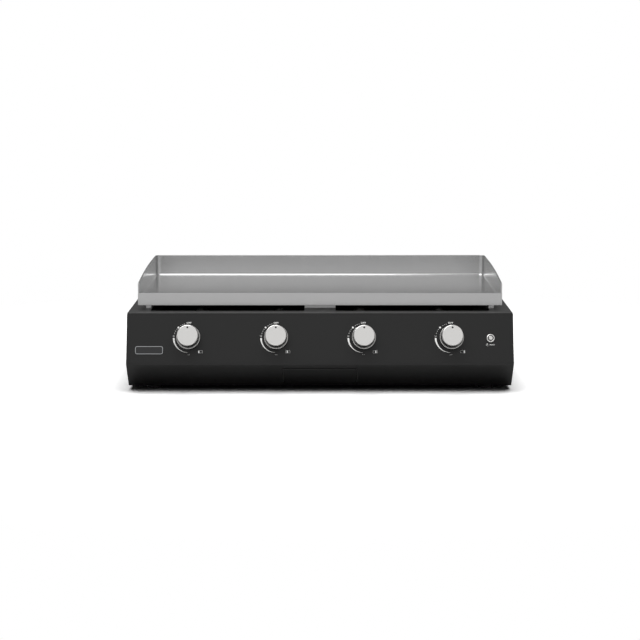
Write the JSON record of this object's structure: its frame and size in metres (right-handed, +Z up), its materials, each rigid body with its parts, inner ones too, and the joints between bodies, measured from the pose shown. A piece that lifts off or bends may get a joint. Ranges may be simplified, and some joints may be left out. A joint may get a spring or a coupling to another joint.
{
  "type": "gas griddle",
  "caption": "Countertop gas griddle: black sheet-steel body with leaning knob panel, lift-off stainless plate with splash guard, tube burners, push igniter and grease drawer.",
  "frame": {"origin": "on the ground under the middle of the whole object", "axes": "+X to the right seen from the front, +Y to the back, +Z up"},
  "size_m": [0.8, 0.5461, 0.231],
  "materials": {
    "black_powder_coat": "satin fine-textured powder coat",
    "black_enamel": "matt heat-resistant black",
    "stainless_steel": "bright rolled stainless steel",
    "burner_steel": "plain stainless tube",
    "satin_aluminium": "satin turned metal",
    "black_nylon": "moulded",
    "brass": "machined",
    "zinc_steel": "zinc-plated",
    "white_ceramic": "glazed ceramic",
    "foot_rubber": "moulded",
    "badge_black": "satin, bare"
  },
  "bodies": {
    "housing": {"back_panel": "black_powder_coat", "badge_plate": "badge_black", "base_panel": "black_powder_coat", "burner_1": "burner_steel", "burner_2": "burner_steel", "burner_3": "burner_steel", "burner_4": "burner_steel", "burner_box_left": "black_enamel", "burner_box_right": "black_enamel", "drawer_runner_left": "zinc_steel", "drawer_runner_right": "zinc_steel", "electrode_1": "white_ceramic", "electrode_2": "white_ceramic", "electrode_3": "white_ceramic", "electrode_4": "white_ceramic", "foot_screws": "zinc_steel", "front_panel": "black_powder_coat", "gas_feed_pipe": "zinc_steel", "gas_injectors": "brass", "gas_inlet": "brass", "gas_manifold": "zinc_steel", "gas_valve_1": "brass", "gas_valve_2": "brass", "gas_valve_3": "brass", "gas_valve_4": "brass", "grease_chute": "zinc_steel", "igniter_body": "satin_aluminium", "igniter_nut": "zinc_steel", "inlet_nut": "brass", "panel_screws": "zinc_steel", "rubber_feet": "foot_rubber", "side_panel_left": "black_powder_coat", "side_panel_right": "black_powder_coat", "spark_generator": "black_nylon", "top_deck": "black_powder_coat"},
    "griddle": {"griddle_pan": "stainless_steel", "front_apron": "stainless_steel", "pan_feet": "stainless_steel", "grease_spout": "stainless_steel"},
    "grease_drawer": {"grease_tray": "zinc_steel", "drawer_front": "black_powder_coat"},
    "igniter_push": {"igniter_button": "satin_aluminium"},
    "knob_push_1": {"spring_seat_1": "brass"},
    "knob_turn_1": {"knob_1": "satin_aluminium", "knob_core_1": "black_nylon", "valve_stem_1": "brass"},
    "knob_push_2": {"spring_seat_2": "brass"},
    "knob_turn_2": {"knob_2": "satin_aluminium", "knob_core_2": "black_nylon", "valve_stem_2": "brass"},
    "knob_push_3": {"spring_seat_3": "brass"},
    "knob_turn_3": {"knob_3": "satin_aluminium", "knob_core_3": "black_nylon", "valve_stem_3": "brass"},
    "knob_push_4": {"spring_seat_4": "brass"},
    "knob_turn_4": {"knob_4": "satin_aluminium", "knob_core_4": "black_nylon", "valve_stem_4": "brass"}
  },
  "joints": [
    {"name": "knob_1_push", "type": "slide", "parent": "housing", "child": "knob_push_1", "axis": [0, 0.9466, -0.3224], "range_m": [0, 0.0035], "stiffness_N_per_m": 3000},
    {"name": "knob_1_turn", "type": "hinge", "parent": "knob_push_1", "child": "knob_turn_1", "pos_m": [-0.272, -0.23533, 0.11346], "axis": [0, -0.9466, 0.3224], "range_deg": [0, 180]},
    {"name": "knob_2_push", "type": "slide", "parent": "housing", "child": "knob_push_2", "axis": [0, 0.9466, -0.3224], "range_m": [0, 0.0035], "stiffness_N_per_m": 3000},
    {"name": "knob_2_turn", "type": "hinge", "parent": "knob_push_2", "child": "knob_turn_2", "pos_m": [-0.09067, -0.23533, 0.11346], "axis": [0, -0.9466, 0.3224], "range_deg": [0, 180]},
    {"name": "knob_3_push", "type": "slide", "parent": "housing", "child": "knob_push_3", "axis": [0, 0.9466, -0.3224], "range_m": [0, 0.0035], "stiffness_N_per_m": 3000},
    {"name": "knob_3_turn", "type": "hinge", "parent": "knob_push_3", "child": "knob_turn_3", "pos_m": [0.09067, -0.23533, 0.11346], "axis": [0, -0.9466, 0.3224], "range_deg": [0, 180]},
    {"name": "knob_4_push", "type": "slide", "parent": "housing", "child": "knob_push_4", "axis": [0, 0.9466, -0.3224], "range_m": [0, 0.0035], "stiffness_N_per_m": 3000},
    {"name": "knob_4_turn", "type": "hinge", "parent": "knob_push_4", "child": "knob_turn_4", "pos_m": [0.272, -0.23533, 0.11346], "axis": [0, -0.9466, 0.3224], "range_deg": [0, 180]},
    {"name": "igniter_press", "type": "slide", "parent": "housing", "child": "igniter_push", "axis": [0, 0.9466, -0.3224], "range_m": [0, 0.003], "stiffness_N_per_m": 1500},
    {"name": "drawer_slide", "type": "slide", "parent": "housing", "child": "grease_drawer", "axis": [0, -1, 0], "range_m": [0, 0.22]},
    {"name": "griddle_lift", "type": "slide", "parent": "housing", "child": "griddle", "axis": [0, 0, 1], "range_m": [0, 0.12]}
  ]
}
